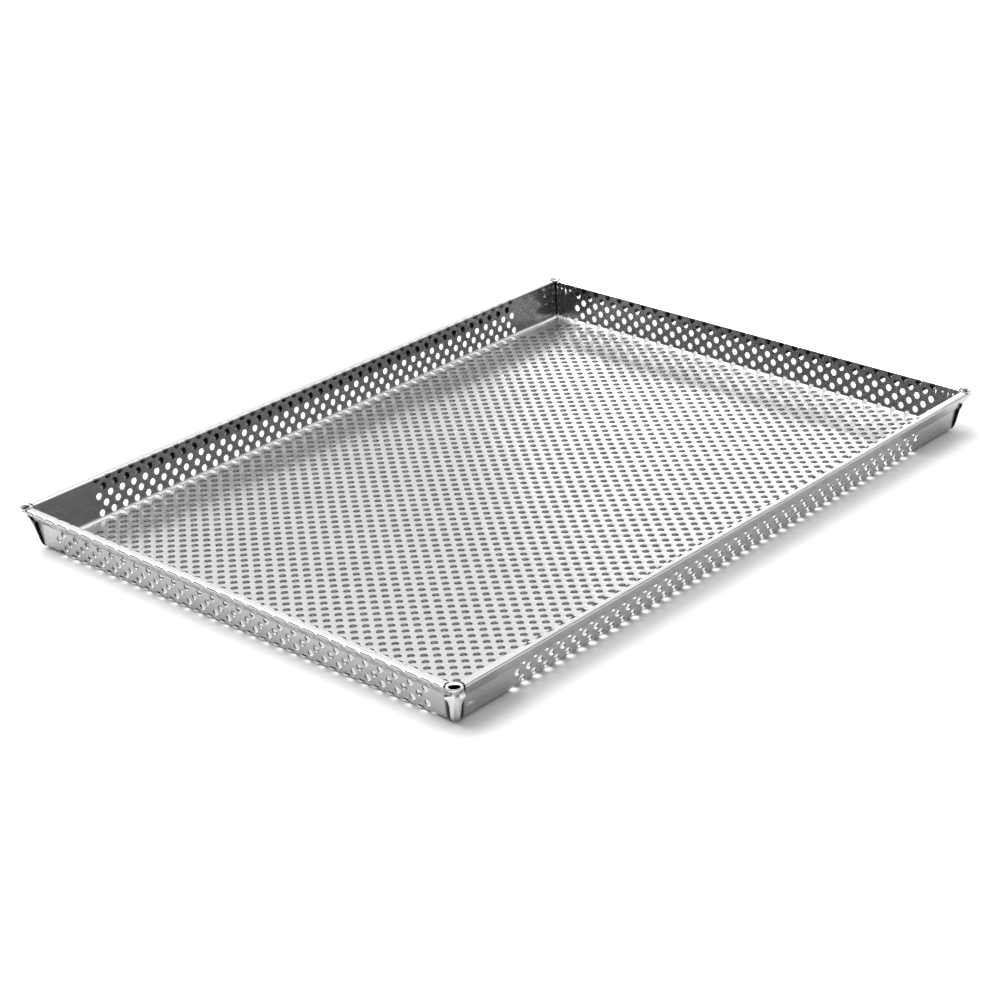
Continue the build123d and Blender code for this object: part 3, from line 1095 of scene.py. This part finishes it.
@dataclass
class CornerFold:
    """The hollow ear, neck and ridge of pinched metal at one corner."""

    corner: Corner
    sizes: TraySizes
    pinch: PinchedShape
    around: int = 96                  # points to each ring
    levels: int = 66                  # rings down the outside
    throat_rings: int = 14
    mouth_setback: float = 3.9 * MM   # of the mouth's middle, from the rim's corner
    mouth_across: float = 3.0 * MM
    mouth_along: float = 2.5 * MM
    mouth_drop: float = 0.35 * MM     # from the brim's top to where the throat starts
    mouth_roll: tuple[tuple[float, float], ...] = ((0.12, 0.13), (0.32, 0.03), (0.62, 0.0))   # out, down, mm
    throat_setback: float = 7.3 * MM
    throat_height: float = 18.6 * MM  # of the throat's bottom
    throat_radius: float = 0.25 * MM  # at its bottom
    throat_ease: float = 0.8          # below 1, it narrows mostly near its bottom
    brow: tuple[float, ...] = (0.0, 0.12, 0.30, 0.50)   # rings just below the top, mm
    throat_painted_shade: tuple[float, float] = (0.6 * MM, 1.2 * MM)   # of the painted shade down the throat: where it starts, and how soon it is full
    crease_width: float = 1.5 * MM    # of the painted shade beside the fold
    tuck: tuple[tuple[float, float], ...] = ((5.0 * MM, 23.6 * MM), (0.9 * MM, 18.6 * MM))    # ear to neck
    tuck_width: float = 0.45 * MM     # of the painted shade in the tuck
    tuck_setback: float = 5.4 * MM    # how far in it shows
    brim: float = 24.15 * MM          # above this the fold lies over the crest

    def ring(self, height: float, turn: np.ndarray, profile: SideProfile) -> np.ndarray:
        """The fold's outside at one height, kept to the outer half of the walls' thickness."""
        across, setback = self.pinch.outline(height, turn)
        if height < self.brim:
            limit = profile.wall_inset(height) * math.sqrt(2) + np.abs(across)
            setback = np.minimum(setback, limit)
        return np.column_stack([across, setback, np.full(len(turn), height)])

    def rings(self) -> list[np.ndarray]:
        """Rings from the bottom of the throat, over the brim and down the outside."""
        turn = np.linspace(0, 2 * np.pi, self.around, endpoint=False)
        profile = SideProfile(self.sizes, self.sizes.lip_drop_long)
        mouth_top = self.sizes.height - self.mouth_drop
        rings = []
        for share in np.linspace(0, 1, self.throat_rings):
            ease = share**self.throat_ease
            middle = self.throat_setback + (self.mouth_setback - self.throat_setback) * ease
            wide = self.throat_radius + (self.mouth_across - self.throat_radius) * ease
            deep = self.throat_radius + (self.mouth_along - self.throat_radius) * ease
            height = self.throat_height + (mouth_top - self.throat_height) * share
            rings.append(self._oval(middle, wide, deep, height, turn))
        for grow, drop in self.mouth_roll:
            grow, drop = grow * MM, drop * MM
            wide, deep = self.mouth_across + grow, self.mouth_along + grow
            rings.append(self._oval(self.mouth_setback, wide, deep, self.sizes.height - drop, turn))
        bottom = self.pinch.levels[0][0] * MM
        heights = [self.sizes.height - drop * MM for drop in self.brow]
        heights += [self.brim + 0.01 * MM, *np.linspace(self.brim - 0.02 * MM, bottom, self.levels)]
        return rings + [self.ring(height, turn, profile) for height in heights]

    def creases(self, local: np.ndarray) -> np.ndarray:
        """How much painted shade each point takes: down the throat and where the fold meets the walls.

        Args:
            local: Points as distance across, setback and height.

        Returns:
            A share from 0 to 1 for each point.
        """
        profile = SideProfile(self.sizes, self.sizes.lip_drop_long)
        across, setback, height = local.T
        wall = np.array([profile.wall_inset(float(z)) - self.sizes.sheet / 2 for z in height])
        stand_off = wall - (setback - np.abs(across)) / math.sqrt(2)
        # Painted shade: down the throat, where the fold meets the walls, and in the tuck.
        beside = np.clip(1.0 - stand_off / self.crease_width, 0.0, 1.0) * (height < self.brim)
        in_throat = np.arange(len(local)) < 1 + self.around * self.throat_rings
        throat = np.clip((self.sizes.height - self.throat_painted_shade[0] - height) / self.throat_painted_shade[1], 0.0, 1.0)
        start, end = np.array(self.tuck[0]), np.array(self.tuck[1])
        run = end - start
        offset = np.column_stack([across, height]) - start
        share = np.clip(offset @ run / (run @ run), 0.0, 1.0)
        away = np.hypot(*(offset - share[:, None] * run).T)
        tucked = np.exp(-((away / self.tuck_width) ** 2)) * (setback < self.tuck_setback)
        return np.where(in_throat, throat, np.maximum(beside, tucked))

    @staticmethod
    def _oval(middle: float, wide: float, deep: float, height: float, turn: np.ndarray) -> np.ndarray:
        """An oval ring across and along the diagonal."""
        across, setback = wide * np.sin(turn), middle - deep * np.cos(turn)
        return np.column_stack([across, setback, np.full(len(turn), height)])

    def build(self) -> bpy.types.Object:
        """Makes the fold and puts it in place."""
        rings = self.rings()
        sign_x, sign_y = self.corner.value
        out = np.array([sign_x, sign_y, 0.0]) / math.sqrt(2)
        across = np.array([-out[1], out[0], 0.0])
        base = np.array([sign_x * self.sizes.half_length, sign_y * self.sizes.half_width, 0.0])
        local = np.vstack([rings[0].mean(0), *rings, rings[-1].mean(0)])
        plan = base + np.outer(local[:, 0], across) - np.outer(local[:, 1], out)
        points = plan + np.outer(local[:, 2], (0, 0, 1))
        n, last = self.around, len(local) - 1
        faces = [(0, 1 + k, 1 + (k + 1) % n) for k in range(n)]
        for r in range(len(rings) - 1):
            low, high = 1 + r * n, 1 + (r + 1) * n
            faces += [(low + k, high + k, high + (k + 1) % n, low + (k + 1) % n) for k in range(n)]
        tail = 1 + (len(rings) - 1) * n
        faces += [(tail + (k + 1) % n, tail + k, last) for k in range(n)]
        name = f"tray_{self.corner.label}_fold"
        mesh = bpy.data.meshes.new(name)
        mesh.from_pydata(points.tolist(), [], faces)
        chart = mesh.uv_layers.new(name=SHEET_MAP)
        index = np.zeros(len(mesh.loops), np.int64)
        mesh.loops.foreach_get("vertex_index", index)
        spread = np.column_stack([local[:, 0] + base[0], local[:, 2] + local[:, 1] + base[1]])
        chart.uv.foreach_set("vector", (spread[index] * MAP_SCALE).astype(np.float32).ravel())
        mesh.polygons.foreach_set("use_smooth", np.ones(len(mesh.polygons), bool))
        mesh.set_sharp_from_angle(angle=math.radians(50))
        mark = mesh.attributes.new(PAINTED_SHADE_MARK, "FLOAT", "POINT")
        mark.data.foreach_set("value", self.creases(local).astype(np.float32))
        mesh.update()
        return place_piece(bpy.data.objects.new(name, mesh), f"{self.corner.label}_corner_fold", PINCHED)


# ---------------------------------------------------------------- studio


def direction(azimuth: float, elevation: float) -> Vector:
    """The direction of an azimuth from +X and an elevation."""
    turn, rise = math.radians(azimuth), math.radians(elevation)
    return Vector((math.cos(rise) * math.cos(turn), math.cos(rise) * math.sin(turn), math.sin(rise)))


def facing(place: Vector, target: Vector) -> Matrix:
    """Where an object at place stands when its -Z looks at target."""
    return Matrix.Translation(place) @ (target - place).to_track_quat("-Z", "Y").to_matrix().to_4x4()


@dataclass(frozen=True)
class SoftBox:
    """One soft area light, aimed at the tray."""

    name: str
    azimuth: float
    elevation: float
    distance: float
    width: float
    height: float
    power: float

    def build(self) -> bpy.types.Object:
        """Makes the light."""
        light = bpy.data.lights.new(self.name, "AREA")
        light.shape, light.size, light.size_y, light.energy = "RECTANGLE", self.width, self.height, self.power
        lamp = bpy.data.objects.new(self.name, light)
        lamp.matrix_world = facing(direction(self.azimuth, self.elevation) * self.distance, Vector())
        bpy.context.scene.collection.objects.link(lamp)
        return lamp


@dataclass(frozen=True)
class StudioCamera:
    """The camera, by where it looks from and what it looks at."""

    azimuth: float = -137.504
    elevation: float = 25.282
    roll: float = -2.104
    distance: float = 1.39682
    aim: tuple[float, float, float] = (-0.02003, -0.00621, 0.0)
    lens: float = 87.475

    def build(self) -> bpy.types.Object:
        """Makes the camera and gives it to the scene."""
        data = bpy.data.cameras.new("studio_camera")
        data.lens, data.sensor_width, data.clip_start, data.clip_end = self.lens, 36.0, 0.01, 50.0
        camera = bpy.data.objects.new("studio_camera", data)
        aim = Vector(self.aim)
        place = aim + direction(self.azimuth, self.elevation) * self.distance
        camera.matrix_world = facing(place, aim) @ Matrix.Rotation(math.radians(self.roll), 4, "Z")
        bpy.context.scene.collection.objects.link(camera)
        bpy.context.scene.camera = camera
        return camera


@dataclass(frozen=True)
class Studio:
    """A pale floor, a soft dome that darkens toward the horizon, and soft boxes.

    Each dome is given as tones at rising shares of the way up.
    """

    floor_size: float = 8.0
    floor_drop: float = 1.0 * MM
    floor_tone: float = 0.93
    back_azimuth: float = 38.0
    back_dome: tuple[tuple[float, float], ...] = ((0.0, 0.85), (0.42, 0.92), (0.62, 0.95), (0.85, 1.0))
    front_dome: tuple[tuple[float, float], ...] = ((0.0, 0.02), (0.26, 0.04), (0.44, 0.22), (0.72, 1.0))
    boxes: tuple[SoftBox, ...] = (
        SoftBox("back_bank", 33.0, 19.0, 2.6, 0.7, 0.35, 1.8),
        SoftBox("overhead", 108.0, 66.0, 1.9, 2.2, 2.0, 46.0),
    )

    def build(self) -> None:
        """Makes the floor, the dome and the lights."""
        self._floor()
        self._dome()
        for box in self.boxes:
            box.build()

    def _floor(self) -> None:
        """The pale floor that the tray stands on."""
        half = self.floor_size / 2
        mesh = bpy.data.meshes.new("studio_floor")
        corners = [(-half, -half), (half, -half), (half, half), (-half, half)]
        mesh.from_pydata([(x, y, -self.floor_drop) for x, y in corners], [], [(0, 1, 2, 3)])
        floor = bpy.data.objects.new("studio_floor", mesh)
        paint = bpy.data.materials.new("studio_floor_paint")
        paint.use_nodes = True
        bench = Bench(paint.node_tree)
        inputs = {"Base Color": (*[self.floor_tone] * 3, 1.0), "Roughness": 1.0, "Specular IOR Level": 0.0}
        surface = bench.node("ShaderNodeBsdfPrincipled", None, inputs)
        bench.node("ShaderNodeOutputMaterial", None, {"Surface": surface.outputs[0]})
        mesh.materials.append(paint)
        bpy.context.scene.collection.objects.link(floor)

    def _dome(self) -> None:
        """Soft light from all round, brighter overhead and behind the tray than in front of it."""
        world = bpy.data.worlds.new("studio_dome")
        bpy.context.scene.world = world
        world.use_nodes = True
        bench = Bench(world.node_tree)
        sky = bench.node("ShaderNodeTexCoord").outputs["Generated"]
        height = bench.node("ShaderNodeSeparateXYZ", None, {0: sky}).outputs["Z"]
        behind = direction(self.back_azimuth, 0.0)
        dot = bench.node("ShaderNodeVectorMath", {"operation": "DOT_PRODUCT"}, {0: sky, 1: behind})
        share = Reading(bench, dot.outputs["Value"]).over(-0.5, 0.85)
        tones = []
        for levels in (self.front_dome, self.back_dome):
            stops = [(place, (level, level, level, 1.0)) for place, level in levels]
            tones.append(bench.node("ShaderNodeValToRGB", {"stops": stops}, {"Fac": height}).outputs["Color"])
        inputs = {"Color": bench.mixed(share, *tones), "Strength": 1.0}
        glow = bench.node("ShaderNodeBackground", None, inputs)
        bench.node("ShaderNodeOutputWorld", None, {"Surface": glow.outputs[0]})


def main() -> None:
    """Builds the studio, then the tray piece by piece."""
    logging.basicConfig(level=logging.INFO, format="%(name)s %(message)s", stream=sys.stdout)
    bpy.context.scene.view_settings.view_transform = "Standard"
    StudioCamera().build()
    Studio().build()
    sizes, punching = TraySizes.from_part(), Punching()
    pinches = dict.fromkeys(Corner, PinchedShape(squeeze=1.8, groove=(0.24, 0.36)))
    pinches[Corner.FRONT_LEFT] = PinchedShape()    # the one corner with an open, rounded ear
    FloorPanel(sizes, punching).build()
    for side in Side:
        TraySide(side, sizes, punching, pinches).build()
    for corner in Corner:
        CornerFold(corner, sizes, pinches[corner]).build()


if __name__ == "__main__":
    main()
